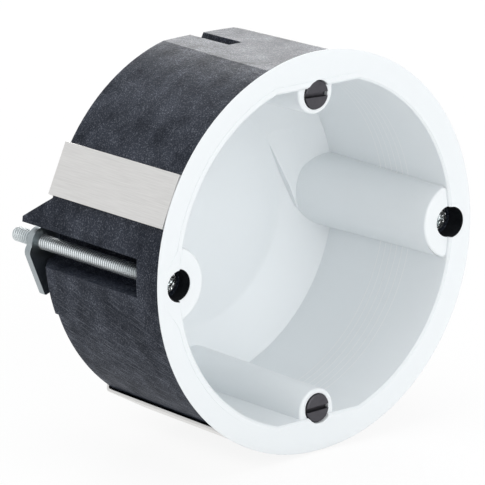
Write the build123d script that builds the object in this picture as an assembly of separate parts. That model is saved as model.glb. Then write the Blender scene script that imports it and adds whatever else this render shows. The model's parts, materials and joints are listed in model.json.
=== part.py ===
from build123d import *
import os
from math import cos, hypot, radians, sin

# Fire-rated back box for a hollow wall: a white moulded inner box with a flange, set into a
# charcoal fire shell, held by a steel strap cage, and clamped behind the wall by two claws that
# swing out on long screws.
#
# Frame, in millimetres: the origin is the centre of the opening in the flange's front plane,
# +X to the right, +Y into the wall, +Z up. Clamping parts come in pairs, one the other turned by
# half a turn about the Y axis. Depths (Y) grow towards the wall's inside.

# Opening, set by the screws that carry a switch or socket
DEVICE_SPACING = 60.0       # centre to centre of the two device screws
OPEN_MARGIN = 3.0           # from those screws out to the round edge of the opening
OPEN_FLAT_CUT = 1.5         # flats above and below, cut into the round
MOUTH_CHAMFER = 0.4

# Inner box
CUP_WALL = 1.3
CUP_DEPTH = 33.85           # front plane to the corner between wall and floor
CONE_WIDTH = 10.2           # sloping border of the floor, seen along the axis
CONE_RISE = 4.44            # how much deeper the middle of the floor lies
FLOOR_T = 1.64              # floor wall, measured along the axis
FLOOR_ROUND = 3.0           # soft bend between slope and middle

# Flange
FLANGE_T = 1.0
FLANGE_LIP = 1.55           # overlap on the wall, beyond the shell
BEVEL_WIDTH = 1.9           # sloping outer band
BEVEL_SLOPE = 0.18
DISH_DEPTH = 0.14           # the inner band sinks towards the opening, apart from the pads
PAD_ANGLES = (20.2, 5.5, -4.5, -16.0)   # flat pads at the clamp screws: mouth, crease, crease, mouth

# Fire shell
SHELL_WALL = 2.6
SHELL_FIT = 0.05            # gap between the inner box and the shell
SHELL_LAND = 6.9            # straight front part that sits in the hole of the wall
SHELL_DRAFT = 0.3           # the rear edge is this much smaller in radius
SHELL_OVERHANG = 0.55       # rear edge, behind the corner of the cup
SHELL_BACK_T = 2.1          # behind the middle of the floor
SHELL_POCKET_T = 1.55       # behind the claw pockets
BODY_FLAT_CUT = 1.3         # flats above and below on shell and flange crease
LAND_EDGE_H = 0.9           # the shell stands up behind its rear edge where the claw is parked,
LAND_R = 32.9               # and is flat inside this radius, level with the claw pocket
LAND_Z = 12.6
SLOT_W = 3.2                # release slots in the two flats
SLOT_L = 11.6
SLOT_RAMP = 2.0

# Clamp screws and their bosses
CLAMP_OFFSET = 0.1          # screw axis, outside the round edge of the opening
CLAMP_HOLE_R = 3.0
BOSS_Y = 0.85               # front face of every boss
BOSS_SKIN = 0.75            # plastic left at that face
BOSS_FRONT_R = 7.3
BOSS_REAR_R = 7.5
BOSS_LEAN = 1.3             # the round of the boss lies this much further out in front
SCREW_R = 1.45
SCREW_FIT = 0.05            # running clearance of every bore on a screw
CLAMP_HEAD_R = 2.65
CLAMP_HEAD_H = 1.7
CLAMP_SEAT_Y = 5.6          # seat of the head
SEAT_WEB = 2.3              # shell material under the head
CHANNEL_FIT = 0.15          # between the claw and the channel along the screw
CHANNEL_ROUND = 2.5
SCREW_PAST_CLAW = 7.3
SCREW_TIP = 0.8
CROSS_W = 0.8
CROSS_L = 3.2
CROSS_DEPTH = 1.0

# Claws
CLAW_GAP = 0.54             # between the parked claw and the pocket behind it in the shell
CLAW_T = 1.6
CLAW_HUB_R = 3.05
CLAW_REACH = 9.65
CLAW_STOP_SIDE = 4.0        # from the axis to the side of the arm that meets the stop
CLAW_SHOULDER = 1.0         # the arm starts this far behind the axis
SHOULDER_ROUND = 1.9
CLAW_ROUND = 0.5
CLAW_PARKED = 112.0         # angle from pointing straight out to parked

# Claw stops, the noses on the rear edge of the shell
STOP_GAP = 0.1              # between the swung-out claw and its stop
NOSE_HEIGHT = 5.9           # width of the nose at its root
NOSE_TIP_H = 1.05
NOSE_PAST_CLAW = 0.75

# Claw pockets, pressed into the floor from behind where the claws are parked
POCKET_SIDE = 7.9           # side wall, beside the axis of the parked claw
POCKET_FOOT = 3.0           # lower end, below the screw axis
POCKET_TOP = 13.0
POCKET_RIDGE = 9.1          # ridge line, inwards of the screw axis
POCKET_EDGE = 5.45          # the pocket's flat meets the slope of the floor here, from the wall
POCKET_SLOPE = 0.54
POCKET_ROUND = 1.5

# Device screws and their bosses
DEVICE_BOSS_R = 4.1
DEVICE_BOSS_DRAFT = 0.4     # growth of that radius down to the floor
DEVICE_BOSS_OFFSET = 0.4    # round of the boss, outside the screw axis
DEVICE_HEAD_R = 2.7
DEVICE_HEAD_EDGE = 0.15     # chamfer round the head's face
DEVICE_HEAD_H = 1.7
DEVICE_HEAD_Y = 0.4         # front of the head
HEAD_ROOM = 0.15            # round the head
HEAD_WALL = 0.85            # plastic round and under the head's recess
DEVICE_SCREW_R = 1.5
DEVICE_SCREW_L = 16.0
DEVICE_BORE_L = 20.0
DRIVER_SLOT_W = 0.85
DRIVER_SLOT_DEPTH = 1.1
DRIVER_SLOT_TILTS = {"t": -3.0, "b": 1.0}   # how the two driver slots happen to stand, degrees

# Strap cage
STRAP_W = 10.3
STRAP_T = 0.6
STRAP_GAP = 0.1
STRAP_LEAN = 0.15           # the legs stand off the shell in front
STRAP_BEND = 0.4            # inner bend radius
STRAP_ANGLES = (155.4, 240.3, 335.4, 45.0)

# Worked out from the above
OPEN_R = DEVICE_SPACING / 2 + OPEN_MARGIN
OPEN_FLAT = OPEN_R - OPEN_FLAT_CUT
CUP_R = OPEN_R + CUP_WALL
CUP_FLAT = OPEN_FLAT + CUP_WALL
CORE_R = CUP_R + SHELL_FIT
CORE_FLAT = CUP_FLAT + SHELL_FIT
BODY_R = CORE_R + SHELL_WALL
BODY_FLAT = BODY_R - BODY_FLAT_CUT
REAR_R = BODY_R - SHELL_DRAFT
FLANGE_R = BODY_R + FLANGE_LIP
CREASE_R = FLANGE_R - BEVEL_WIDTH
CREASE_FLAT = CREASE_R - BODY_FLAT_CUT
CONE_SLOPE = CONE_RISE / CONE_WIDTH
DISC_R = OPEN_R - CONE_WIDTH
FLOOR_Y = CUP_DEPTH + CONE_RISE
FLOOR_BACK = FLOOR_Y + FLOOR_T
SHELL_REAR = CUP_DEPTH + SHELL_OVERHANG
SHELL_BACK = FLOOR_BACK + SHELL_BACK_T
CLAMP_X = OPEN_R + CLAMP_OFFSET
POCKET_Y = BOSS_Y + BOSS_SKIN
CHANNEL_Y = CLAMP_SEAT_Y + SEAT_WEB
POCKET_FLAT_Y = CUP_DEPTH + CONE_SLOPE * POCKET_EDGE
LAND_Y = POCKET_FLAT_Y + FLOOR_T + SHELL_POCKET_T
CLAW_Y = LAND_Y + CLAW_GAP
CLAW_BACK = CLAW_Y + CLAW_T
SCREW_END = CLAW_BACK + SCREW_PAST_CLAW
NOSE_Z = CLAW_STOP_SIDE + STOP_GAP
CHANNEL_LIP = CLAW_HUB_R + CHANNEL_FIT
NOSE_END = CLAW_BACK + NOSE_PAST_CLAW
DEVICE_SEAT_Y = DEVICE_HEAD_Y + DEVICE_HEAD_H
DEVICE_Z = DEVICE_SPACING / 2
HEAD_RECESS_R = DEVICE_HEAD_R + HEAD_ROOM

# Cutters and blanks run this far past what they cut
OVER = 2.0
DEEP = SCREW_END + OVER
WIDE = 2 * FLANGE_R + OVER


def at_depth(y):
    """Sketch plane at depth y, with X to the right and Z up."""
    return Plane.XZ.offset(-y)


def prism(sketch, y0, y1):
    """Straight block with the sketch as its section, from depth y0 to y1."""
    return extrude(at_depth(y0) * sketch, amount=y0 - y1)


def taper(sketch0, y0, sketch1, y1):
    """Straight-sided block between two sketches of the same kind."""
    return loft([(at_depth(y0) * sketch0).face(), (at_depth(y1) * sketch1).face()], ruled=True)


def turned(*profile):
    """Body turned about the Y axis from (radius, depth) points."""
    return revolve(make_face(Polyline(*profile, close=True).edges()), Axis.Y)


def slab(half_height):
    """Everything between the heights -half_height and +half_height."""
    return Box(2 * WIDE, 4 * DEEP, 2 * half_height)


def both(part):
    """The part and its copy on the other side, half a turn about the Y axis."""
    return part + part.rotate(Axis.Y, 180)


def flatted(radius, flat):
    """Disc with flats above and below."""
    return Circle(radius) & Rectangle(2 * radius + OVER, 2 * flat)


def disc(radius, x=0.0, z=0.0):
    """Round sketch about (x, z)."""
    return Pos(x, z) * Circle(radius)


def polar(radius, angle):
    """Point in a sketch at this radius and angle from +X."""
    return (radius * cos(radians(angle)), radius * sin(radians(angle)))


def cone_y(radius):
    """Depth of the sloping border of the floor, inside the cup."""
    return CUP_DEPTH + CONE_SLOPE * (OPEN_R - radius)


def boss_section(y, inset=0.0):
    """Section of the right clamp-screw boss at depth y; it leans and grows with depth."""
    part_way = (y - BOSS_Y) / (SHELL_REAR - BOSS_Y)
    radius = BOSS_FRONT_R + (BOSS_REAR_R - BOSS_FRONT_R) * part_way
    return disc(radius - inset, CLAMP_X + BOSS_LEAN * (1 - part_way))


def clamp_boss(y0, y1, inset=0.0):
    """Right clamp-screw boss between two depths, or what lies inside its wall."""
    return taper(boss_section(y0, inset), y0, boss_section(y1, inset), y1)


def device_boss():
    """D-shaped boss of the upper device screw, from its face down through the floor."""
    centre_z = DEVICE_Z + DEVICE_BOSS_OFFSET

    def section(radius):
        block = Pos(0, centre_z + CUP_WALL) * Rectangle(2 * radius, 2 * CUP_WALL)
        return disc(radius, 0, centre_z) + block

    return taper(section(DEVICE_BOSS_R), BOSS_Y, section(DEVICE_BOSS_R + DEVICE_BOSS_DRAFT), DEEP)


def pocket_outline(inset=0.0):
    """Outline of the right claw pocket: beside the parked claw, and out to the floor's slope."""
    along = (cos(radians(CLAW_PARKED)), sin(radians(CLAW_PARKED)))
    side = POCKET_SIDE - inset
    start = (CLAMP_X - side * along[1], side * along[0])

    def edge_point(z):
        return (start[0] + (z - start[1]) * along[0] / along[1], z)

    foot = -POCKET_FOOT + inset
    top = POCKET_TOP - inset
    blank = make_face(Polyline(edge_point(foot), edge_point(top), (CLAMP_X, top), (CLAMP_X, foot),
                               close=True).edges())
    corner = blank.vertices().sort_by_distance((*edge_point(top), 0))[0]
    return fillet(corner, POCKET_ROUND) & disc(OPEN_R - POCKET_EDGE)


def pocket_room(shift=0.0):
    """What lies in front of the right claw pocket's ridged surface, moved back by shift."""
    flat_y = POCKET_FLAT_Y + shift
    ridge_x = CLAMP_X - POCKET_RIDGE
    low_y = flat_y + POCKET_SLOPE * ridge_x
    section = make_face(Polyline((0, 0), (0, low_y), (ridge_x, flat_y), (WIDE, flat_y), (WIDE, 0),
                                 close=True).edges())
    return extrude(section, amount=WIDE, both=True)


def pressed_pocket(inset, depth):
    """What the right claw pocket takes out of a floor whose outer side lies at this depth."""
    return prism(pocket_outline(inset), CUP_DEPTH, DEEP) - pocket_room(depth)


def cup_outside(gap=0.0):
    """Outside of the cup, or the room that the shell leaves for it, larger by the gap."""
    corner_y = cone_y(CUP_R) + FLOOR_T + gap
    cup = turned((0, 0), (CUP_R + gap, 0), (CUP_R + gap, corner_y), (DISC_R, FLOOR_BACK + gap),
                 (0, FLOOR_BACK + gap)) & slab(CUP_FLAT + gap)
    head_wall = prism(disc(HEAD_RECESS_R + HEAD_WALL + gap, 0, DEVICE_Z), FLANGE_T,
                      DEVICE_SEAT_Y + HEAD_WALL + gap)
    hollows = (clamp_boss(POCKET_Y + gap, DEEP, CUP_WALL + gap)
               + pressed_pocket(CUP_WALL + gap, FLOOR_T + gap))
    return cup + both(head_wall) - both(hollows)


def flange():
    """Flange plate: bevelled outside the crease, dished inside it, flat pads at the clamp screws."""
    growth = FLANGE_T / BEVEL_SLOPE
    bevel = taper(flatted(CREASE_R, CREASE_FLAT), 0,
                  flatted(CREASE_R + growth, CREASE_FLAT + growth), FLANGE_T)
    plate = prism(disc(FLANGE_R), 0, FLANGE_T) & bevel
    dish = turned((0, -OVER), (CREASE_R, -OVER), (CREASE_R, 0), (OPEN_R, DISH_DEPTH), (0, DISH_DEPTH))
    radii = (OPEN_R, CREASE_R, CREASE_R, OPEN_R)
    corners = [polar(r, a) for r, a in zip(radii, PAD_ANGLES)]
    inner = CLAMP_X - BOSS_FRONT_R
    corners += [(inner, corners[-1][1]), (inner, corners[0][1])]
    pad = prism(make_face(Polyline(*corners, close=True).edges()), -2 * OVER, 2 * FLANGE_T)
    return plate - (dish - both(pad))


def cavity():
    """Inside of the cup: the walls, the coned floor with its claw pockets, and the bosses."""
    profile = make_face(Polyline((0, -OVER), (OPEN_R, -OVER), (OPEN_R, CUP_DEPTH), (DISC_R, FLOOR_Y),
                                 (0, FLOOR_Y), close=True).edges())
    bend = profile.vertices().sort_by_distance((DISC_R, FLOOR_Y, 0))[0]
    room = revolve(fillet(bend, FLOOR_ROUND), Axis.Y) & slab(OPEN_FLAT)
    pocket = prism(pocket_outline(), CUP_DEPTH - CONE_RISE, DEEP)
    room = room - both(pocket) + both(pocket & pocket_room())
    room -= both(clamp_boss(BOSS_Y, DEEP) + device_boss())
    wider = OVER + MOUTH_CHAMFER
    mouth = taper(flatted(OPEN_R + wider, OPEN_FLAT + wider), -OVER,
                  flatted(OPEN_R, OPEN_FLAT), MOUTH_CHAMFER)
    return room + mouth


def inner_box():
    """The white moulding: cup, flange and bosses."""
    box = cup_outside() + flange() - cavity()
    box -= both(prism(disc(CLAMP_HOLE_R, CLAMP_X), -OVER, POCKET_Y + OVER))
    box -= both(prism(disc(HEAD_RECESS_R, 0, DEVICE_Z), -OVER, DEVICE_SEAT_Y))
    box -= both(prism(disc(DEVICE_SCREW_R + SCREW_FIT, 0, DEVICE_Z), 0, DEVICE_BORE_L))
    return box


def release_slot():
    """Slot through the shell's upper flat, open to the rear, with a ramped front end."""
    front = SHELL_REAR - SLOT_L
    section = make_face(Polyline((front + SLOT_RAMP, CORE_FLAT), (front, BODY_FLAT + OVER),
                                 (DEEP, BODY_FLAT + OVER), (DEEP, CORE_FLAT),
                                 close=True).edges())
    return extrude(Plane.YZ * section, amount=SLOT_W / 2, both=True)


def claw_stop():
    """Nose behind the shell's rear edge, above the left screw, that stops the swinging claw."""
    side = make_face(Polyline((SHELL_REAR - OVER, NOSE_Z), (NOSE_END, NOSE_Z),
                              (NOSE_END, NOSE_Z + NOSE_TIP_H), (SHELL_REAR, NOSE_Z + NOSE_HEIGHT),
                              (SHELL_REAR - OVER, NOSE_Z + NOSE_HEIGHT), close=True).edges())
    ring = prism(disc(REAR_R) - disc(CORE_R), SHELL_REAR - OVER, NOSE_END)
    return ring & extrude(Plane.YZ * side, amount=-WIDE)


def rear_land():
    """Part of the shell that stands up in front of the parked left claw, up to the stop."""
    inner_r = OPEN_R - POCKET_EDGE
    ring = turned((inner_r, CUP_DEPTH), (REAR_R, CUP_DEPTH), (REAR_R, SHELL_REAR + LAND_EDGE_H),
                  (LAND_R, LAND_Y), (inner_r, LAND_Y))
    block = Box(2 * BODY_R, 2 * DEEP, LAND_Z + NOSE_Z)
    return ring & Pos(-BODY_R, 0, (NOSE_Z - LAND_Z) / 2) * block


def screw_channel():
    """Channel along the right clamp screw, open to the side and the rear, for the claw's hub."""
    middle = Pos(CLAMP_X + WIDE / 2 - CHANNEL_LIP, (CHANNEL_LIP - NOSE_Z) / 2)
    section = middle * RectangleRounded(WIDE, CHANNEL_LIP + NOSE_Z, CHANNEL_ROUND)
    return prism(section, CHANNEL_Y, DEEP)


def fire_shell():
    """The charcoal moulding round and behind the cup, which follows the cup's outside."""
    shell = turned((0, FLANGE_T), (BODY_R, FLANGE_T), (BODY_R, FLANGE_T + SHELL_LAND),
                   (REAR_R, SHELL_REAR), (DISC_R, SHELL_BACK), (0, SHELL_BACK)) & slab(BODY_FLAT)
    shell += both(claw_stop()) + both(rear_land())
    shell -= cup_outside(SHELL_FIT)
    shell -= both(pressed_pocket(CUP_WALL + SHELL_POCKET_T, FLOOR_T + SHELL_POCKET_T))
    shell -= both(screw_channel())
    shell -= both(prism(disc(CLAMP_HOLE_R, CLAMP_X), 0, CLAMP_SEAT_Y))
    shell -= both(prism(disc(SCREW_R + SCREW_FIT, CLAMP_X), 0, DEEP))
    return shell - both(release_slot())


def strap_arm():
    """One arm of the cage towards +X: along the shell, over its rear edge and onto its back."""
    back = SHELL_BACK + STRAP_GAP
    inside = [(BODY_R + STRAP_LEAN, FLANGE_T + STRAP_GAP),
              (REAR_R + STRAP_GAP, SHELL_REAR + STRAP_GAP), (DISC_R + STRAP_GAP, back)]
    length = hypot(inside[1][0] - inside[2][0], inside[1][1] - inside[2][1])
    drop = (inside[1][0] - inside[2][0]) / length
    rise = (inside[2][1] - inside[1][1]) / length
    half = STRAP_T / 2
    middle = [(inside[0][0] + half, inside[0][1]),
              (inside[1][0] + half, inside[1][1] + half * drop / (1 + rise)),
              (inside[2][0] + half * rise / (1 + drop), back + half), (0, back + half)]
    strip = trace(FilletPolyline(*middle, radius=STRAP_BEND + half), line_width=STRAP_T)
    return extrude(strip, amount=STRAP_W / 2, both=True)


def strap_cage():
    """Steel stamping with four legs and a cross behind the shell."""
    cage = Part()
    for angle in STRAP_ANGLES:
        cage += strap_arm().rotate(Axis.Y, -angle)
    return cage


def clamp_screw():
    """Right clamp screw with a pan head and a cross recess."""
    seat = CLAMP_SEAT_Y - SCREW_FIT
    front = seat - CLAMP_HEAD_H
    soft = CLAMP_HEAD_H / 3
    body = turned((0, front), (CLAMP_HEAD_R - soft, front), (CLAMP_HEAD_R, front + soft),
                  (CLAMP_HEAD_R, seat), (SCREW_R, seat), (SCREW_R, SCREW_END - SCREW_TIP),
                  (SCREW_R - SCREW_TIP, SCREW_END), (0, SCREW_END))
    cross = Rectangle(CROSS_L, CROSS_W) + Rectangle(CROSS_W, CROSS_L)
    body -= taper(cross, front, scale(cross, 0.5), front + CROSS_DEPTH)
    return Pos(CLAMP_X, 0, 0) * body


def claw():
    """Right claw, parked: a plate with a rounded hub, a shoulder on the stop's side, a square end."""
    arm = make_face(Polyline((-CLAW_SHOULDER, -CLAW_STOP_SIDE), (CLAW_REACH, -CLAW_STOP_SIDE),
                             (CLAW_REACH, CLAW_HUB_R), (0, CLAW_HUB_R), (-CLAW_SHOULDER, 0),
                             close=True).edges())
    arm = fillet(arm.vertices().sort_by_distance((-CLAW_SHOULDER, -CLAW_STOP_SIDE, 0))[0],
                 SHOULDER_ROUND)
    arm = fillet(arm.vertices().sort_by(Axis.X)[-2:], CLAW_ROUND)
    outline = arm + disc(CLAW_HUB_R) - disc(SCREW_R + SCREW_FIT)
    return prism(Pos(CLAMP_X, 0) * Rot(0, 0, CLAW_PARKED) * outline, CLAW_Y, CLAW_BACK)


def device_screw(tilt):
    """Upper device screw with a flat head and a straight driver slot."""
    end = DEVICE_SEAT_Y + DEVICE_SCREW_L
    body = turned((0, DEVICE_HEAD_Y), (DEVICE_HEAD_R - DEVICE_HEAD_EDGE, DEVICE_HEAD_Y),
                  (DEVICE_HEAD_R, DEVICE_HEAD_Y + DEVICE_HEAD_EDGE), (DEVICE_HEAD_R, DEVICE_SEAT_Y),
                  (DEVICE_SCREW_R, DEVICE_SEAT_Y), (DEVICE_SCREW_R, end - SCREW_TIP),
                  (DEVICE_SCREW_R - SCREW_TIP, end), (0, end))
    slot = Rot(0, 0, tilt) * Rectangle(3 * DEVICE_HEAD_R, DRIVER_SLOT_W)
    body -= prism(slot, DEVICE_HEAD_Y - OVER, DEVICE_HEAD_Y + DRIVER_SLOT_DEPTH)
    return Pos(0, 0, DEVICE_Z) * body


def turn_over(part):
    """The same part on the opposite side of the box."""
    return part.rotate(Axis.Y, 180)


def nodes():
    """Every separate piece, by name."""
    return {
        "inner_box": inner_box(),
        "fire_shell": fire_shell(),
        "strap_cage": strap_cage(),
        "clamp_screw_r": clamp_screw(),
        "clamp_screw_l": turn_over(clamp_screw()),
        "claw_r": claw(),
        "claw_l": turn_over(claw()),
        "device_screw_t": device_screw(DRIVER_SLOT_TILTS["t"]),
        "device_screw_b": turn_over(device_screw(DRIVER_SLOT_TILTS["b"])),
    }


os.makedirs("parts", exist_ok=True)
for name, shape in nodes().items():
    export_step(shape, f"parts/{name}.step")
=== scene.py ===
"""Fire-rated back box: finishes, fine edges, screw threads, studio floor, lamps and camera.

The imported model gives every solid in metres, with +X to the right, +Y into the wall and +Z up.
Each sub-assembly below dresses its own solids, and replaces those whose softened edges or threads
the eye can see. Sizes are in millimetres and are turned to metres where a mesh or a node needs it.
"""
from __future__ import annotations

import json
import logging
import math
from dataclasses import dataclass
from enum import Enum

import bmesh
import bpy
from mathutils import Matrix, Vector

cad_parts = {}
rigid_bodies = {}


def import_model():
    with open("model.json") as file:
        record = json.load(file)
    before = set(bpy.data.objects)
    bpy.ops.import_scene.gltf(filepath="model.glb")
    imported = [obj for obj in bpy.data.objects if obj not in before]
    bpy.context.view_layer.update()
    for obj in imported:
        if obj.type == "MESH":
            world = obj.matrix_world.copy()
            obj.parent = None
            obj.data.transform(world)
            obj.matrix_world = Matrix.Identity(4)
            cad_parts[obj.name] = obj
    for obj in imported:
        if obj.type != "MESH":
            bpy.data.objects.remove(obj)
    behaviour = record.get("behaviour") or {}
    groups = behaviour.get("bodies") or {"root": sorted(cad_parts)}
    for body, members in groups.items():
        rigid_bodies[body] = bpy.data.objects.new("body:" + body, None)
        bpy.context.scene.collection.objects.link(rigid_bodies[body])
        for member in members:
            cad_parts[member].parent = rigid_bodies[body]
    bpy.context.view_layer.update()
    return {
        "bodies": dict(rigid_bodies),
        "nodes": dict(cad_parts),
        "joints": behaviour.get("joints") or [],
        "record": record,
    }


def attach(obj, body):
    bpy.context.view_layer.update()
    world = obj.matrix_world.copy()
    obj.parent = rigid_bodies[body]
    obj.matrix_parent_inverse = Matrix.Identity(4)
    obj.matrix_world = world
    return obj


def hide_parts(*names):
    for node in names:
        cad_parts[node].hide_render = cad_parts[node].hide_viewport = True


LOG = logging.getLogger("back_box")
MM = 0.001
AXIS = Vector((0.0, 1.0, 0.0))
CLAMP_AXIS_X = 33.1     # each clamp screw's axis, to the side of the box's axis
DEVICE_AXIS_Z = 30.0    # each device screw's axis, above or below the box's axis
SIDE_RADIUS = 36.95     # round side of the fire shell
THREAD_DEPTHS = (5.5, 48.85)    # from just inside the head to the clamp screw's tip


class Slot(Enum):
    """Material slots of the record."""

    WHITE_PLASTIC = "white_plastic"
    FIRE_COMPOUND = "fire_compound"
    STRAP_STEEL = "strap_steel"
    ZINC_STEEL = "zinc_steel"
    DARK_STEEL = "dark_steel"


class Side(Enum):
    """Side of the box on which a clamp drive sits: letter of its nodes, body name and sign of X."""

    LEFT = ("l", "left", -1)
    RIGHT = ("r", "right", 1)


class Height(Enum):
    """Place of a device screw: letter of its node and body name."""

    TOP = ("t", "top")
    BOTTOM = ("b", "bottom")


def linear(hex_colour: str) -> tuple[float, float, float, float]:
    """Linear colour with full alpha for an sRGB colour of six hex digits, by the sRGB standard."""
    channels = [int(hex_colour[i:i + 2], 16) / 255 for i in (0, 2, 4)]
    straight = [c / 12.92 if c <= 0.04045 else ((c + 0.055) / 1.055) ** 2.4 for c in channels]
    return (*straight, 1.0)


def per_mm(size: float) -> float:
    """Scale of a texture whose features are this many millimetres apart."""
    return 1 / (size * MM)


def add_node(tree: bpy.types.NodeTree, kind: str, settings: dict | None = None,
             inputs: dict | None = None) -> bpy.types.Node:
    """Adds a node with its settings, values and links.

    Args:
        tree: node tree of the material or world.
        kind: type of the node.
        settings: properties of the node by name.
        inputs: what each socket gets, by the socket's name or number: a value, or a socket
            of another node, which is linked.

    Returns:
        The new node.
    """
    node = tree.nodes.new(kind)
    for name, value in (settings or {}).items():
        setattr(node, name, value)
    for key, value in (inputs or {}).items():
        if isinstance(value, bpy.types.NodeSocket):
            tree.links.new(value, node.inputs[key])
        else:
            node.inputs[key].default_value = value
    return node


def round_the_axis(tree: bpy.types.NodeTree, radius: float, skew: float = 0.0) -> bpy.types.NodeSocket:
    """Pattern coordinates that follow a round body: way round, depth and distance from the axis.

    Args:
        tree: node tree of the material.
        radius: radius in millimetres at which the way round is true to size.
        skew: way round added for each unit of depth, which lets a pattern wind round the body.

    Returns:
        Vector socket of the coordinates, in metres.
    """
    place = add_node(tree, "ShaderNodeTexCoord").outputs["Object"]
    parts = add_node(tree, "ShaderNodeSeparateXYZ", inputs={0: place}).outputs
    angle = add_node(tree, "ShaderNodeMath", {"operation": "ARCTAN2"}, {0: parts["X"], 1: parts["Z"]})
    turned = add_node(tree, "ShaderNodeMath", {"operation": "MULTIPLY_ADD"},
                      {0: parts["Y"], 1: skew / (radius * MM), 2: angle.outputs[0]})
    way = add_node(tree, "ShaderNodeMath", {"operation": "MULTIPLY"},
                   {0: turned.outputs[0], 1: radius * MM})
    across = add_node(tree, "ShaderNodeCombineXYZ", inputs={"X": parts["X"], "Z": parts["Z"]})
    distance = add_node(tree, "ShaderNodeVectorMath", {"operation": "LENGTH"}, {0: across.outputs[0]})
    joined = add_node(tree, "ShaderNodeCombineXYZ",
                      inputs={"X": way.outputs[0], "Y": parts["Y"], "Z": distance.outputs["Value"]})
    return joined.outputs[0]


@dataclass(frozen=True)
class Finish:
    """A material as its maker would name it; each kind paints its own detail."""

    slot: Slot
    name: str
    colour: str
    roughness: float
    metallic: float = 0.0

    def material(self) -> bpy.types.Material:
        """Makes the material.

        Returns:
            The painted material.
        """
        made = bpy.data.materials.new(self.name)
        made.use_nodes = True
        tree = made.node_tree
        tree.nodes.clear()
        shader = add_node(tree, "ShaderNodeBsdfPrincipled", inputs={
            "Base Color": linear(self.colour), "Roughness": self.roughness, "Metallic": self.metallic})
        add_node(tree, "ShaderNodeOutputMaterial", inputs={"Surface": shader.outputs[0]})
        self.paint(tree, shader)
        return made

    def paint(self, tree: bpy.types.NodeTree, shader: bpy.types.Node) -> None:
        """Adds what the eye sees on this finish.

        Args:
            tree: node tree of the material.
            shader: its shader node.
        """
        raise NotImplementedError

    def vary(self, tree: bpy.types.NodeTree, shader: bpy.types.Node, pattern: bpy.types.NodeSocket,
             colours: tuple[str, str], roughness: tuple[float, float]) -> None:
        """Lets colour and roughness follow a pattern.

        Args:
            tree: node tree of the material.
            shader: its shader node.
            pattern: socket with values from 0 to 1.
            colours: colours where the pattern is 0 and 1.
            roughness: roughness where the pattern is 0 and 1.
        """
        mixed = add_node(tree, "ShaderNodeMix", {"data_type": "RGBA"},
                         {0: pattern, 6: linear(colours[0]), 7: linear(colours[1])})
        gloss = add_node(tree, "ShaderNodeMapRange", inputs={
            "Value": pattern, "To Min": roughness[0], "To Max": roughness[1]})
        tree.links.new(mixed.outputs[2], shader.inputs["Base Color"])
        tree.links.new(gloss.outputs[0], shader.inputs["Roughness"])

    def relief(self, tree: bpy.types.NodeTree, shader: bpy.types.Node, height: bpy.types.NodeSocket,
               depth: float, strength: float | bpy.types.NodeSocket = 1.0) -> None:
        """Lets the surface rise and fall with a pattern.

        Args:
            tree: node tree of the material.
            shader: its shader node.
            height: socket with values from 0 to 1.
            depth: height of the relief in millimetres.
            strength: share of the relief that is felt.
        """
        bump = add_node(tree, "ShaderNodeBump", inputs={
            "Height": height, "Distance": depth * MM, "Strength": strength})
        tree.links.new(bump.outputs[0], shader.inputs["Normal"])


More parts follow.
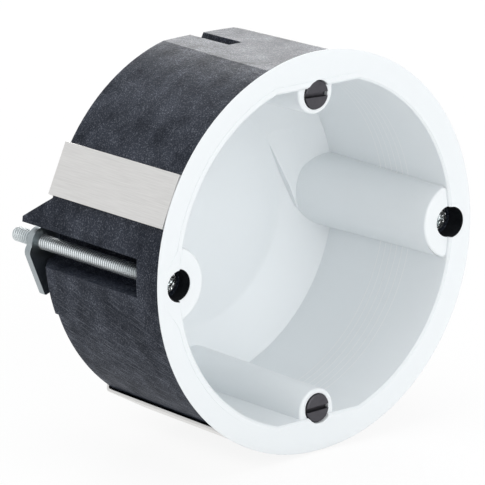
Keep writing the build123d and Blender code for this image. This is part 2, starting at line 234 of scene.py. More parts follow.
@dataclass(frozen=True)
class MouldedPolypropylene(Finish):
    """White injection-moulded polypropylene.

    It is softly glossy and lets a little light through. Six hairlines from the turned mould run
    round the inner wall, and a fine orange-peel relief keeps reflections soft.
    """

    wall_radius: float = 32.6   # everything inside this radius is a boss or the floor
    ring_first: float = 11.2
    ring_pitch: float = 1.56
    ring_count: int = 6
    ring_width: float = 0.22
    ring_radius: float = 33.0
    ring_colour: str = "ffffff"
    ring_dulling: float = 0.12  # roughness that a ring adds
    ring_rise: float = 9.0      # height of a ring against the orange peel's
    peel: float = 1.4
    peel_depth: float = 0.004
    ior: float = 1.49
    scatter: float = 0.1
    scatter_depth: float = 0.9

    def paint(self, tree: bpy.types.NodeTree, shader: bpy.types.Node) -> None:
        """Adds the mould's rings, the soft relief and the light that goes through the wall."""
        shader.inputs["IOR"].default_value = self.ior
        shader.inputs["Subsurface Weight"].default_value = self.scatter
        shader.inputs["Subsurface Radius"].default_value = (1.0, 1.0, 1.0)
        shader.inputs["Subsurface Scale"].default_value = self.scatter_depth * MM
        place = add_node(tree, "ShaderNodeTexCoord").outputs["Object"]
        peel = add_node(tree, "ShaderNodeTexNoise", inputs={
            "Vector": place, "Scale": per_mm(self.peel), "Detail": 2.0, "Roughness": 0.5})
        rings = self.rings(tree)
        self.vary(tree, shader, rings, (self.colour, self.ring_colour),
                  (self.roughness, self.roughness + self.ring_dulling))
        height = add_node(tree, "ShaderNodeMath", {"operation": "MULTIPLY_ADD"},
                          {0: rings, 1: self.ring_rise, 2: peel.outputs[0]})
        self.relief(tree, shader, height.outputs[0], self.peel_depth)

    def rings(self, tree: bpy.types.NodeTree) -> bpy.types.NodeSocket:
        """Hairlines at even depths on the round wall.

        Args:
            tree: node tree of the material.

        Returns:
            Socket that is 1 on a hairline and 0 beside it.
        """
        place = add_node(tree, "ShaderNodeSeparateXYZ",
                         inputs={0: round_the_axis(tree, self.ring_radius)}).outputs
        turns = add_node(tree, "ShaderNodeMapRange", {"clamp": False}, {
            "Value": place["Y"], "From Min": self.ring_first * MM,
            "From Max": (self.ring_first + self.ring_pitch) * MM})
        low = add_node(tree, "ShaderNodeMath", {"operation": "GREATER_THAN"},
                       {0: turns.outputs[0], 1: -0.5})
        high = add_node(tree, "ShaderNodeMath", {"operation": "LESS_THAN"},
                        {0: turns.outputs[0], 1: self.ring_count - 0.5})
        saw = add_node(tree, "ShaderNodeMath", {"operation": "PINGPONG"}, {0: turns.outputs[0], 1: 0.5})
        line = add_node(tree, "ShaderNodeMapRange", inputs={
            "Value": saw.outputs[0], "From Min": 0.0, "From Max": self.ring_width / self.ring_pitch / 2,
            "To Min": 1.0, "To Max": 0.0})
        wall = add_node(tree, "ShaderNodeMath", {"operation": "GREATER_THAN"},
                        {0: place["Z"], 1: self.wall_radius * MM})
        shown = line.outputs[0]
        for limit in (low, high, wall):
            shown = add_node(tree, "ShaderNodeMath", {"operation": "MULTIPLY"},
                             {0: shown, 1: limit.outputs[0]}).outputs[0]
        return shown


@dataclass(frozen=True)
class IntumescentCompound(Finish):
    """Charcoal intumescent compound, pressed from granules.

    It is matt and nearly black, with pale graphite flecks, cloudy patches, and streaks where the
    compound flowed slantwise round the mould.
    """

    patch_colour: str = "262c39"
    fleck_colour: str = "9a9faa"
    ior: float = 1.5
    cloud: float = 5.5
    cloud_band: tuple[float, float] = (0.35, 0.68)      # noise values of the dark and pale patches
    lump: float = 1.0
    fleck: float = 0.28         # coarser than the real grain of about 0.2 mm, so that it shows
    fleck_band: tuple[float, float] = (0.52, 0.76)
    fleck_share: tuple[float, float] = (0.35, 0.85)     # in dark and in pale patches
    streak_width: float = 0.24
    streak_length: float = 6.0
    streak_band: tuple[float, float] = (0.54, 0.74)
    streak_share: float = 0.5
    streak_skew: float = -0.32
    streak_height: float = -6.0
    streak_fade: float = 6.0
    streak_reach: float = 35.0  # only the round side has streaks, which starts at this radius
    gloss_height: float = 30.0
    gloss: tuple[float, float] = (0.05, 0.22)           # on the lower and on the upper side
    wear: tuple[float, float] = (0.55, 1.45)            # what dark and pale patches do to the gloss
    grain_share: float = 0.4    # height of the grains against the lumps'
    relief_depth: float = 0.09
    relief_share: float = 0.8

    def paint(self, tree: bpy.types.NodeTree, shader: bpy.types.Node) -> None:
        """Adds clouds, flecks, streaks, the upper side's gloss and the relief of grains and lumps."""
        shader.inputs["IOR"].default_value = self.ior
        place = add_node(tree, "ShaderNodeTexCoord").outputs["Object"]
        height = add_node(tree, "ShaderNodeSeparateXYZ", inputs={0: place}).outputs["Z"]
        gloss = add_node(tree, "ShaderNodeMapRange", inputs={
            "Value": height, "From Min": -self.gloss_height * MM, "From Max": self.gloss_height * MM,
            "To Min": self.gloss[0], "To Max": self.gloss[1]})
        clouds = self.clouds(tree, place)
        worn = add_node(tree, "ShaderNodeMapRange", inputs={
            "Value": clouds, "To Min": self.wear[0], "To Max": self.wear[1]})
        shine = add_node(tree, "ShaderNodeMath", {"operation": "MULTIPLY"},
                         {0: gloss.outputs[0], 1: worn.outputs[0]})
        tree.links.new(shine.outputs[0], shader.inputs["Specular IOR Level"])
        grain = add_node(tree, "ShaderNodeTexNoise", inputs={
            "Vector": place, "Scale": per_mm(self.fleck), "Detail": 3.0, "Roughness": 0.7}).outputs[0]
        share = add_node(tree, "ShaderNodeMapRange", inputs={
            "Value": clouds, "To Min": self.fleck_share[0], "To Max": self.fleck_share[1]})
        flecks = add_node(tree, "ShaderNodeMapRange", inputs={
            "Value": grain, "From Min": self.fleck_band[0], "From Max": self.fleck_band[1],
            "To Max": share.outputs[0]})
        shown = add_node(tree, "ShaderNodeMath", {"operation": "MAXIMUM"},
                         {0: flecks.outputs[0], 1: self.streaks(tree, place)})
        dark = add_node(tree, "ShaderNodeMix", {"data_type": "RGBA"},
                        {0: clouds, 6: linear(self.colour), 7: linear(self.patch_colour)})
        mixed = add_node(tree, "ShaderNodeMix", {"data_type": "RGBA"},
                         {0: shown.outputs[0], 6: dark.outputs[2], 7: linear(self.fleck_colour)})
        tree.links.new(mixed.outputs[2], shader.inputs["Base Color"])
        lumps = add_node(tree, "ShaderNodeTexNoise", inputs={
            "Vector": place, "Scale": per_mm(self.lump), "Detail": 1.0, "Roughness": 0.5})
        rise = add_node(tree, "ShaderNodeMath", {"operation": "MULTIPLY_ADD"},
                        {0: grain, 1: self.grain_share, 2: lumps.outputs[0]})
        self.relief(tree, shader, rise.outputs[0], self.relief_depth, self.relief_share)

    def clouds(self, tree: bpy.types.NodeTree, place: bpy.types.NodeSocket) -> bpy.types.NodeSocket:
        """Slow patches of a paler tone.

        Args:
            tree: node tree of the material.
            place: coordinates on the object.

        Returns:
            Socket that is 0 in the dark and 1 in the pale patches.
        """
        noise = add_node(tree, "ShaderNodeTexNoise", inputs={
            "Vector": place, "Scale": per_mm(self.cloud), "Detail": 5.0, "Roughness": 0.6})
        return add_node(tree, "ShaderNodeMapRange", inputs={
            "Value": noise.outputs[0], "From Min": self.cloud_band[0],
            "From Max": self.cloud_band[1]}).outputs[0]

    def streaks(self, tree: bpy.types.NodeTree, place: bpy.types.NodeSocket) -> bpy.types.NodeSocket:
        """Flow streaks that wind round the lower part of the shell.

        Args:
            tree: node tree of the material.
            place: coordinates on the object.

        Returns:
            Socket that is 1 on a streak and 0 beside it.
        """
        winding = round_the_axis(tree, SIDE_RADIUS, self.streak_skew)
        stretched = add_node(tree, "ShaderNodeVectorMath", {"operation": "MULTIPLY"}, {
            0: winding,
            1: (per_mm(self.streak_width), per_mm(self.streak_length), per_mm(self.streak_length))})
        noise = add_node(tree, "ShaderNodeTexNoise", inputs={
            "Vector": stretched.outputs[0], "Scale": 1.0, "Detail": 3.0, "Roughness": 0.6})
        lines = add_node(tree, "ShaderNodeMapRange", inputs={
            "Value": noise.outputs[0], "From Min": self.streak_band[0],
            "From Max": self.streak_band[1], "To Max": self.streak_share})
        height = add_node(tree, "ShaderNodeSeparateXYZ", inputs={0: place}).outputs["Z"]
        low = add_node(tree, "ShaderNodeMapRange", inputs={
            "Value": height, "From Min": (self.streak_height + self.streak_fade) * MM,
            "From Max": (self.streak_height - self.streak_fade) * MM})
        reach = add_node(tree, "ShaderNodeSeparateXYZ", inputs={0: winding}).outputs["Z"]
        outside = add_node(tree, "ShaderNodeMath", {"operation": "GREATER_THAN"},
                           {0: reach, 1: self.streak_reach * MM})
        lower = add_node(tree, "ShaderNodeMath", {"operation": "MULTIPLY"},
                         {0: low.outputs[0], 1: outside.outputs[0]})
        return add_node(tree, "ShaderNodeMath", {"operation": "MULTIPLY"},
                        {0: lines.outputs[0], 1: lower.outputs[0]}).outputs[0]


@dataclass(frozen=True)
class RolledStrip(Finish):
    """Cold-rolled steel strip, brushed along its length.

    Fine lines run along each leg, and the reflection is spread wide across them.
    """

    leg_radius: float = 37.0
    line_width: float = 0.18
    line_length: float = 6.0
    line_colours: tuple[str, str] = ("cbc9c7", "e9e8e6")
    line_dulling: float = 0.08
    line_depth: float = 0.01
    line_share: float = 0.5

    def paint(self, tree: bpy.types.NodeTree, shader: bpy.types.Node) -> None:
        """Adds the brushed lines, in tone, gloss and relief."""
        along = round_the_axis(tree, self.leg_radius)
        stretched = add_node(tree, "ShaderNodeVectorMath", {"operation": "MULTIPLY"}, {
            0: along, 1: (per_mm(self.line_width), per_mm(self.line_length), per_mm(self.line_length))})
        lines = add_node(tree, "ShaderNodeTexNoise", inputs={
            "Vector": stretched.outputs[0], "Scale": 1.0, "Detail": 3.0, "Roughness": 0.6})
        self.vary(tree, shader, lines.outputs[0], self.line_colours,
                  (self.roughness - self.line_dulling, self.roughness + self.line_dulling))
        self.relief(tree, shader, lines.outputs[0], self.line_depth, self.line_share)


@dataclass(frozen=True)
class ElectroplatedSteel(Finish):
    """Steel with a bright zinc or a dark passivated plating.

    The plating is smooth with small blotches, and shows the surroundings a little blurred.
    """

    blotch_colour: str = "c9ced2"
    blotch: float = 1.6
    polish: float = 0.06        # roughness that a blotch takes off at one end of its range
    dulling: float = 0.08       # and adds at the other
    unevenness: float = 0.006

    def paint(self, tree: bpy.types.NodeTree, shader: bpy.types.Node) -> None:
        """Adds the blotches of the plating and its light relief."""
        place = add_node(tree, "ShaderNodeTexCoord").outputs["Object"]
        blotches = add_node(tree, "ShaderNodeTexNoise", inputs={
            "Vector": place, "Scale": per_mm(self.blotch), "Detail": 4.0, "Roughness": 0.6})
        self.vary(tree, shader, blotches.outputs[0], (self.colour, self.blotch_colour),
                  (self.roughness - self.polish, self.roughness + self.dulling))
        self.relief(tree, shader, blotches.outputs[0], self.unevenness)


@dataclass(frozen=True)
class ThreadedZinc(Finish):
    """Bright zinc on a rolled thread with a stamped head.

    The grooves are painted darker than the crests as painted shade in the thread's roots, which draws
    the turns as fine stripes. The head is shiny and uneven from stamping, and glints.
    """

    # painted shade in the thread's grooves
    groove_shade_colour: str = "838a8f"
    groove: float = 1.14        # painted shade: dark up to this distance from the screw's axis
    crest: float = 1.4          # and bright from this one on
    head_depth: float = 5.5
    head_roughness: float = 0.22
    dent: float = 0.6
    dent_depth: float = 0.22

    def paint(self, tree: bpy.types.NodeTree, shader: bpy.types.Node) -> None:
        """Adds the painted shade in the grooves, and the head's shine and relief."""
        place = add_node(tree, "ShaderNodeTexCoord").outputs["Object"]
        parts = add_node(tree, "ShaderNodeSeparateXYZ", inputs={0: place}).outputs
        side = add_node(tree, "ShaderNodeMath", {"operation": "ABSOLUTE"}, {0: parts["X"]})
        aside = add_node(tree, "ShaderNodeMath", {"operation": "SUBTRACT"},
                         {0: side.outputs[0], 1: CLAMP_AXIS_X * MM})
        across = add_node(tree, "ShaderNodeCombineXYZ", inputs={"X": aside.outputs[0], "Z": parts["Z"]})
        reach = add_node(tree, "ShaderNodeVectorMath", {"operation": "LENGTH"}, {0: across.outputs[0]})
        # painted shade: the colour darkens from the crests into the grooves
        bright = add_node(tree, "ShaderNodeMapRange", inputs={
            "Value": reach.outputs["Value"], "From Min": self.groove * MM, "From Max": self.crest * MM})
        head = add_node(tree, "ShaderNodeMath", {"operation": "LESS_THAN"},
                        {0: parts["Y"], 1: self.head_depth * MM})
        shown = add_node(tree, "ShaderNodeMath", {"operation": "MAXIMUM"},
                         {0: bright.outputs[0], 1: head.outputs[0]})
        mixed = add_node(tree, "ShaderNodeMix", {"data_type": "RGBA"},
                         {0: shown.outputs[0], 6: linear(self.groove_shade_colour), 7: linear(self.colour)})
        tree.links.new(mixed.outputs[2], shader.inputs["Base Color"])
        shine = add_node(tree, "ShaderNodeMapRange", inputs={
            "Value": head.outputs[0], "To Min": self.roughness, "To Max": self.head_roughness})
        tree.links.new(shine.outputs[0], shader.inputs["Roughness"])
        dents = add_node(tree, "ShaderNodeTexNoise", inputs={
            "Vector": place, "Scale": per_mm(self.dent), "Detail": 1.0, "Roughness": 0.5})
        self.relief(tree, shader, dents.outputs[0], self.dent_depth, head.outputs[0])


class Shelf:
    """Finishes in use, each made once."""

    white = MouldedPolypropylene(Slot.WHITE_PLASTIC, "moulded_polypropylene", "eef2f4", 0.34)
    charcoal = IntumescentCompound(Slot.FIRE_COMPOUND, "pressed_intumescent_compound", "181d27", 0.52)
    # painted shade: a darker compound with dark flecks, for the sleeves in the clamp-screw holes, stands
    # in for the shade in those holes
    hole_shade_compound = IntumescentCompound(Slot.FIRE_COMPOUND, "intumescent_compound_painted_hole_shade", "0e1014", 0.6,
                                 patch_colour="13151a", fleck_colour="1b1e24")
    strip = RolledStrip(Slot.STRAP_STEEL, "cold_rolled_strip", "dad8d6", 0.36, 1.0)
    zinc = ElectroplatedSteel(Slot.ZINC_STEEL, "zinc_plated_cast_claw", "a6aeb1", 0.32, 1.0, "959c9f",
                              unevenness=0.03)
    bright = ThreadedZinc(Slot.ZINC_STEEL, "bright_zinc_plated_screw", "f0f5f6", 0.42, 1.0)
    dark = ElectroplatedSteel(Slot.DARK_STEEL, "dark_passivated_steel", "5a595d", 0.34, 1.0, "454449",
                              unevenness=0.08)

    def __init__(self) -> None:
        """Makes every material."""
        finishes = (self.white, self.charcoal, self.hole_shade_compound, self.strip, self.zinc, self.bright, self.dark)
        self.materials = {finish: finish.material() for finish in finishes}


@dataclass
class Dresser:
    """Puts finishes on solids and turns meshes into pieces of the scene."""

    frame: dict
    shelf: Shelf
    crease: float = 30.0        # in degrees: sharper edges stay sharp in shading
    same_place: float = 0.0005
    same_plane: float = 0.1     # in degrees
    bevel_steps: int = 3

    def coat(self, node: str, finish: Finish) -> None:
        """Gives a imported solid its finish.

        Args:
            node: name of the solid.
            finish: what it is made of.
        """
        slots = self.frame["nodes"][node].data.materials
        slots.clear()
        slots.append(self.shelf.materials[finish])
        LOG.info("%s: %s", node, finish.name)

    def merged(self, node: str) -> bmesh.types.BMesh:
        """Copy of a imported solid's mesh with its loose triangles joined and flat areas made whole.

        Args:
            node: name of the solid.

        Returns:
            The mesh, ready to be shaped further.
        """
        made = bmesh.new()
        made.from_mesh(self.frame["nodes"][node].data)
        bmesh.ops.remove_doubles(made, verts=made.verts, dist=self.same_place * MM)
        bmesh.ops.dissolve_limit(made, angle_limit=math.radians(self.same_plane), verts=made.verts,
                                 edges=made.edges, use_dissolve_boundaries=False)
        return made

    def piece(self, made: bmesh.types.BMesh, name: str, finish: Finish, body: str, node: str = "",
              softness: float = 0.0, weighted: bool = False) -> None:
        """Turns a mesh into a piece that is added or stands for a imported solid.

        Args:
            made: the mesh, which is used up.
            name: name of the piece.
            finish: what it is made of.
            body: body that it moves with.
            node: solid that it replaces, if any.
            softness: width in millimetres of the rounding on its sharp edges.
            weighted: rounds only edges that have a weight, and to that share of the width.
        """
        for face in made.faces:
            face.smooth = True
        for edge in made.edges:
            edge.smooth = not edge.is_manifold or edge.calc_face_angle(0.0) < math.radians(self.crease)
        mesh = bpy.data.meshes.new(name)
        made.to_mesh(mesh)
        made.free()
        mesh.materials.append(self.shelf.materials[finish])
        thing = bpy.data.objects.new(name, mesh)
        bpy.context.scene.collection.objects.link(thing)
        if softness:
            rounding = thing.modifiers.new("softened_edges", "BEVEL")
            rounding.width = softness * MM
            rounding.segments = self.bevel_steps
            rounding.limit_method = "WEIGHT" if weighted else "ANGLE"
            rounding.angle_limit = math.radians(self.crease)
            rounding.use_clamp_overlap = not weighted
            rounding.harden_normals = True
        if node:
            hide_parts(node)
        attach(thing, body)
        LOG.info("%s: stands for %s, %d faces", name, node or "itself", len(mesh.polygons))


@dataclass
class MetricThread:
    """Rolled metric thread, cut square at both ends with a short taper at the tip."""

    crest: float = 1.45
    root: float = 1.1
    pitch: float = 0.6          # coarser than the real 0.5 mm, so that the turns show
    tip: float = 0.8
    steps: int = 20
    spare_turns: int = 2        # beyond either end, where they are cut off
    same_place: float = 0.002
    cut_margin: float = 0.00001
    profile: tuple[tuple[float, bool], ...] = (     # share of the pitch, and whether on the crest
        (0.0, False), (0.25, False), (0.56, True), (0.69, True), (1.0, False))

    def rod(self, start: float, end: float) -> bpy.types.Mesh:
        """Makes a threaded rod about the Y axis.

        Args:
            start: depth in millimetres where it begins.
            end: depth where it ends.

        Returns:
            Its closed mesh.
        """
        made = bmesh.new()
        self.turns(made, start, end)
        for depth, outward in ((start, -AXIS), (end, AXIS)):
            cut = bmesh.ops.bisect_plane(made, geom=made.verts[:] + made.edges[:] + made.faces[:],
                                         dist=self.cut_margin * MM, plane_co=AXIS * depth * MM,
                                         plane_no=outward, clear_outer=True)
            rim = [part for part in cut["geom_cut"] if isinstance(part, bmesh.types.BMEdge)]
            bmesh.ops.contextual_create(made, geom=rim)
        self.taper_tip(made, end)
        bmesh.ops.recalc_face_normals(made, faces=made.faces)
        mesh = bpy.data.meshes.new("threaded_rod")
        made.to_mesh(mesh)
        made.free()
        return mesh

    def turns(self, made: bmesh.types.BMesh, start: float, end: float) -> None:
        """Spins one turn of the thread and sets copies of it one behind the other.

        Args:
            made: mesh that gets the turns.
            start: depth in millimetres that they start before.
            end: depth that they go past.
        """
        first = start - self.spare_turns * self.pitch
        points = [made.verts.new(((self.crest if high else self.root) * MM,
                                  (first + share * self.pitch) * MM, 0.0))
                  for share, high in self.profile]
        edges = [made.edges.new(pair) for pair in zip(points, points[1:])]
        bmesh.ops.spin(made, geom=points + edges, cent=(0, 0, 0), axis=AXIS,
                       dvec=AXIS * (self.pitch / self.steps * MM), angle=math.tau,
                       steps=self.steps, use_merge=False)
        turn = made.verts[:] + made.edges[:] + made.faces[:]
        for count in range(1, math.ceil((end - start) / self.pitch) + self.spare_turns + 1):
            copy = bmesh.ops.duplicate(made, geom=turn)["geom"]
            verts = [part for part in copy if isinstance(part, bmesh.types.BMVert)]
            bmesh.ops.translate(made, verts=verts, vec=AXIS * (count * self.pitch * MM))
        bmesh.ops.remove_doubles(made, verts=made.verts, dist=self.same_place * MM)

    def taper_tip(self, made: bmesh.types.BMesh, end: float) -> None:
        """Draws the last turns in to a short cone.

        Args:
            made: mesh with the thread.
            end: depth of the tip in millimetres.
        """
        for point in made.verts:
            limit = (self.crest - self.tip + (end - point.co.y / MM)) * MM
            radius = math.hypot(point.co.x, point.co.z)
            if radius > limit:
                point.co.x *= limit / radius
                point.co.z *= limit / radius


@dataclass
class InnerBox:
    """White moulding with flange, cup and bosses."""

    flange_radius: float = 38.5
    flange_back: float = 1.0
    corner_radius: float = 38.35
    corner_rise: float = 0.08
    back_radius: float = 37.1
    boss_face: float = 0.85
    hole_radius: float = 3.0
    hole_places: tuple[tuple[float, float], ...] = (
        (CLAMP_AXIS_X, 0), (-CLAMP_AXIS_X, 0), (0, DEVICE_AXIS_Z), (0, -DEVICE_AXIS_Z))
    boss_rim: float = 0.5
    edge_share: float = 0.5     # width of the flange's rounded edge against a boss rim's
    rim_angle: float = 40.0     # in degrees: only sharper edges are rounded
    near: float = 0.1           # how far from its nominal place a point may lie and still count
    rim_gap: float = 0.2        # margin round each hole, and inside the flange's back radius
    face_slack: float = 0.02
    # painted shade: a thin dark sleeve over each clamp-screw hole's wall stands in for the shade in the
    # hole
    lining: float = 0.04
    lining_gap: float = 0.01
    lining_depths: tuple[float, float] = (0.06, 0.95)   # behind the flange's face and the boss's
    lining_end: float = 3.9
    lining_steps: int = 64

    def build(self, dresser: Dresser) -> None:
        """Builds the moulding with its drafted flange edge, round boss rims, and dark sleeves in the
        clamp-screw holes that stand in for the shade there (painted shade).

        Args:
            dresser: what turns meshes into pieces.
        """
        made = dresser.merged("inner_box")
        self.draft_edge(made)
        self.weigh_rims(made)
        dresser.piece(made, "inner_box_dressed", Shelf.white, "box", "inner_box", self.boss_rim, True)
        for side in Side:
            letter, _, sign = side.value
            # painted shade: dark sleeves in the clamp-screw holes
            dresser.piece(self.painted_hole_shade_sleeve(sign), f"painted_hole_shade_sleeve_{letter}", Shelf.hole_shade_compound, "box")

    def draft_edge(self, made: bmesh.types.BMesh) -> None:
        """Slopes the flange's outer edge back towards the shell.

        Args:
            made: mesh of the moulding.
        """
        for point in made.verts:
            reach = math.hypot(point.co.x, point.co.z)
            if reach > (self.flange_radius - self.near) * MM:
                behind = point.co.y > (self.flange_back - self.near) * MM
                drawn = (self.back_radius if behind else self.corner_radius) * MM / reach
                point.co.x *= drawn
                point.co.z *= drawn
                point.co.y -= 0 if behind else self.corner_rise * MM

    def weigh_rims(self, made: bmesh.types.BMesh) -> None:
        """Marks the edges that are rounded: the bosses' rims fully, the flange's edge in part.

        Args:
            made: mesh of the moulding.
        """
        weight = made.edges.layers.float.new("bevel_weight_edge")
        sharp = math.radians(self.rim_angle)
        for edge in made.edges:
            if not edge.is_manifold or not edge.is_convex or edge.calc_face_angle() < sharp:
                continue
            middle = (edge.verts[0].co + edge.verts[1].co) / 2 / MM
            far_out = math.hypot(middle.x, middle.z) > self.back_radius - self.rim_gap
            if far_out and middle.y < self.flange_back + self.near:
                edge[weight] = self.edge_share
            elif abs(middle.y - self.boss_face) < self.face_slack and self.off_holes(middle):
                edge[weight] = 1.0

    def painted_hole_shade_sleeve(self, sign: int) -> bmesh.types.BMesh:
        """Makes a dark sleeve over a clamp-screw hole's wall, which stands in for the shade in the hole
        (painted shade).

        Args:
            sign: sign of X on this side of the box.

        Returns:
            Its mesh, a thin tube whose front follows the flange outside and the boss inside.
        """
        made = bmesh.new()
        outer, inner = self.hole_radius - self.lining_gap, self.hole_radius - self.lining
        flange_side, boss_side = self.lining_depths
        corners = ((inner, boss_side), (outer, boss_side),
                   (outer, self.lining_end), (inner, self.lining_end))
        points = [made.verts.new((radius * MM, depth * MM, 0.0)) for radius, depth in corners]
        edges = [made.edges.new(pair) for pair in zip(points, points[1:] + points[:1])]
        bmesh.ops.spin(made, geom=points + edges, cent=(0, 0, 0), axis=AXIS, angle=math.tau,
                       steps=self.lining_steps, use_merge=True)
        for point in made.verts:
            if point.co.x * sign > 0 and point.co.y < (boss_side + self.near) * MM:
                point.co.y = flange_side * MM
        bmesh.ops.recalc_face_normals(made, faces=made.faces)
        bmesh.ops.translate(made, verts=made.verts, vec=(sign * CLAMP_AXIS_X * MM, 0, 0))
        return made

    def off_holes(self, place: Vector) -> bool:
        """Whether a place lies outside the rims of all four screw holes."""
        return all(math.hypot(place.x - x, place.z - z) > self.hole_radius + self.rim_gap
                   for x, z in self.hole_places)


@dataclass
class FireShell:
    """Charcoal shell round the moulding, with its steel strap cage."""

    strap_softness: float = 0.12

    def build(self, dresser: Dresser) -> None:
        """Dresses the shell and builds the cage with rounded strip edges."""
        dresser.coat("fire_shell", Shelf.charcoal)
        dresser.piece(dresser.merged("strap_cage"), "strap_cage_dressed", Shelf.strip, "box",
                      "strap_cage", self.strap_softness)


@dataclass
class ClampDrive:
    """Long clamp screw with its claw, on one side of the box."""

    side: Side
    thread: bpy.types.Mesh
    seat: float = 5.55
    seat_margin: float = 0.01   # how far in front of the seat the plain shank is cut off
    cut_margin: float = 0.0001
    claw_softness: float = 0.28
    claw_angle: float = 112.0
    claw_edge: float = 2.6      # what lies further in from the screw's axis than this is moved
    claw_growth: float = 0.75

    def build(self, dresser: Dresser) -> None:
        """Builds the screw and the claw.

        Args:
            dresser: what turns meshes into pieces.
        """
        letter, word, sign = self.side.value
        screw = f"clamp_screw_{letter}"
        made = dresser.merged(screw)
        bmesh.ops.bisect_plane(made, geom=made.verts[:] + made.edges[:] + made.faces[:],
                               dist=self.cut_margin * MM,
                               plane_co=AXIS * (self.seat - self.seat_margin) * MM,
                               plane_no=AXIS, clear_outer=True)
        bmesh.ops.holes_fill(made, edges=[edge for edge in made.edges if edge.is_boundary])
        shank = self.thread.copy()
        shank.transform(Matrix.Translation((sign * CLAMP_AXIS_X * MM, 0, 0)))
        made.from_mesh(shank)
        bpy.data.meshes.remove(shank)
        dresser.piece(made, f"{screw}_dressed", Shelf.bright, f"clamp_screw_{word}", screw)
        claw = f"claw_{letter}"
        made = dresser.merged(claw)
        self.widen(made, sign)
        dresser.piece(made, f"{claw}_dressed", Shelf.zinc, f"claw_{word}", claw, self.claw_softness)

    def widen(self, made: bmesh.types.BMesh, sign: int) -> None:
        """Moves the claw's inner side up to the shell, which leaves no light between them.

        Args:
            made: mesh of the claw.
            sign: sign of X on this side of the box.
        """
        turn = math.radians(self.claw_angle)
        inward = Vector((-math.sin(turn), 0, math.cos(turn))) * sign
        axis = Vector((sign * CLAMP_AXIS_X * MM, 0, 0))
        for point in made.verts:
            if (point.co - axis).dot(inward) > self.claw_edge * MM:
                point.co += inward * self.claw_growth * MM


@dataclass
class DeviceScrew:
    """Short slotted screw that carries a switch or socket."""

    height: Height
    softness: float = 0.15

    def build(self, dresser: Dresser) -> None:
        """Builds the screw with softened head edges.

        Args:
            dresser: what turns meshes into pieces.
        """
        letter, word = self.height.value
        node = f"device_screw_{letter}"
        dresser.piece(dresser.merged(node), f"{node}_dressed", Shelf.dark, f"device_screw_{word}",
                      node, self.softness)


@dataclass(frozen=True)
class Lamp:
    """Square soft lamp that faces the object: its place and side in millimetres, its power in watts."""

    name: str
    place: tuple[float, float, float]
    size: float
    power: float

    def hang(self) -> None:
        """Puts the lamp into the scene."""
        light = bpy.data.lights.new(self.name, "AREA")
        light.size = self.size * MM
        light.energy = self.power
        lamp = bpy.data.objects.new(self.name, light)
        lamp.location = Vector(self.place) * MM
        lamp.rotation_mode = "QUATERNION"
        lamp.rotation_quaternion = (-lamp.location).to_track_quat("-Z", "Y")
        bpy.context.scene.collection.objects.link(lamp)


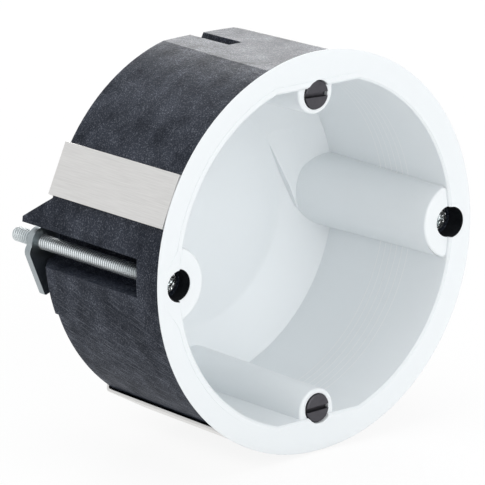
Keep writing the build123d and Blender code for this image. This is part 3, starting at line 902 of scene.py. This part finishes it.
@dataclass
class Studio:
    """Plain pale floor, soft lamps and the camera at the photograph's viewing angle."""

    floor_height: float = -38.55
    floor_reach: float = 4000.0
    floor_steps: int = 8
    floor_colour: str = "fbfbfb"
    floor_glow: float = 0.9     # share of its own white that the camera and gloss see
    room_colour: str = "f8f9fa"
    room_light: float = 0.56    # of the room's white, what lights the object
    target: tuple[float, float, float] = (-18.85, -0.48, 5.66)
    azimuth: float = -39.97
    elevation: float = 15.44
    roll: float = -0.42
    distance: float = 816.0
    lens: float = 334.02
    sensor: float = 36.0
    clip: tuple[float, float] = (0.05, 20.0)    # in metres
    lamps: tuple[Lamp, ...] = (
        Lamp("overhead", (-60, 40, 700), 520, 1.8),
        Lamp("front", (-120, -1100, 250), 1200, 7.2),
        Lamp("rear", (700, 850, 420), 500, 5.0))

    def build(self) -> None:
        """Sets floor, world, lamps, camera and the view transform."""
        self.floor()
        self.world()
        for lamp in self.lamps:
            lamp.hang()
        self.camera()
        bpy.context.scene.view_settings.view_transform = "Standard"

    def seen(self, tree: bpy.types.NodeTree) -> bpy.types.NodeSocket:
        """Socket that is 1 for rays from the camera, from gloss and through glass, and else 0."""
        path = add_node(tree, "ShaderNodeLightPath").outputs
        gloss = add_node(tree, "ShaderNodeMath", {"operation": "MAXIMUM"},
                         {0: path["Is Camera Ray"], 1: path["Is Glossy Ray"]})
        return add_node(tree, "ShaderNodeMath", {"operation": "MAXIMUM"},
                        {0: gloss.outputs[0], 1: path["Is Transmission Ray"]}).outputs[0]

    def floor(self) -> None:
        """Builds the floor, which looks white and keeps a faint shadow."""
        made = bmesh.new()
        bmesh.ops.create_grid(made, x_segments=self.floor_steps, y_segments=self.floor_steps,
                              size=self.floor_reach * MM)
        bmesh.ops.translate(made, verts=made.verts, vec=(0, 0, self.floor_height * MM))
        mesh = bpy.data.meshes.new("studio_floor")
        made.to_mesh(mesh)
        made.free()
        paint = bpy.data.materials.new("white_paper_sweep")
        paint.use_nodes = True
        tree = paint.node_tree
        tree.nodes.clear()
        paper = add_node(tree, "ShaderNodeBsdfDiffuse", inputs={"Color": linear(self.floor_colour)})
        glow = add_node(tree, "ShaderNodeEmission", inputs={"Color": linear("ffffff"), "Strength": 1.0})
        share = add_node(tree, "ShaderNodeMath", {"operation": "MULTIPLY"},
                         {0: self.seen(tree), 1: self.floor_glow})
        both = add_node(tree, "ShaderNodeMixShader", inputs={
            0: share.outputs[0], 1: paper.outputs[0], 2: glow.outputs[0]})
        add_node(tree, "ShaderNodeOutputMaterial", inputs={"Surface": both.outputs[0]})
        mesh.materials.append(paint)
        sweep = bpy.data.objects.new("studio_floor", mesh)
        bpy.context.scene.collection.objects.link(sweep)

    def world(self) -> None:
        """Fills the room with even light, and shows it white to the camera and in gloss."""
        world = bpy.data.worlds.new("studio_room")
        world.use_nodes = True
        tree = world.node_tree
        tree.nodes.clear()
        strength = add_node(tree, "ShaderNodeMapRange", inputs={
            "Value": self.seen(tree), "To Min": self.room_light, "To Max": 1.0})
        glow = add_node(tree, "ShaderNodeBackground", inputs={
            "Color": linear(self.room_colour), "Strength": strength.outputs[0]})
        add_node(tree, "ShaderNodeOutputWorld", inputs={"Surface": glow.outputs[0]})
        bpy.context.scene.world = world

    def camera(self) -> None:
        """Sets the camera."""
        turn, rise = math.radians(self.azimuth), math.radians(self.elevation)
        back = Vector((math.sin(turn) * math.cos(rise), -math.cos(turn) * math.cos(rise), math.sin(rise)))
        view = bpy.data.cameras.new("camera")
        view.sensor_width = self.sensor
        view.lens = self.lens
        view.clip_start, view.clip_end = self.clip
        eye = bpy.data.objects.new("camera", view)
        eye.location = (Vector(self.target) + back * self.distance) * MM
        eye.rotation_mode = "QUATERNION"
        aim = (-back).to_track_quat("-Z", "Y").to_matrix()
        eye.rotation_quaternion = (aim @ Matrix.Rotation(math.radians(self.roll), 3, "Z")).to_quaternion()
        bpy.context.scene.collection.objects.link(eye)
        bpy.context.scene.camera = eye


def main() -> None:
    """Builds the dressed object and its studio."""
    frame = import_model()
    dresser = Dresser(frame, Shelf())
    InnerBox().build(dresser)
    FireShell().build(dresser)
    thread = MetricThread().rod(*THREAD_DEPTHS)
    for side in Side:
        ClampDrive(side, thread).build(dresser)
    for height in Height:
        DeviceScrew(height).build(dresser)
    Studio().build()
    LOG.info("all pieces are in place")


if __name__ == "__main__":
    logging.basicConfig(level=logging.INFO, format="%(message)s")
    main()
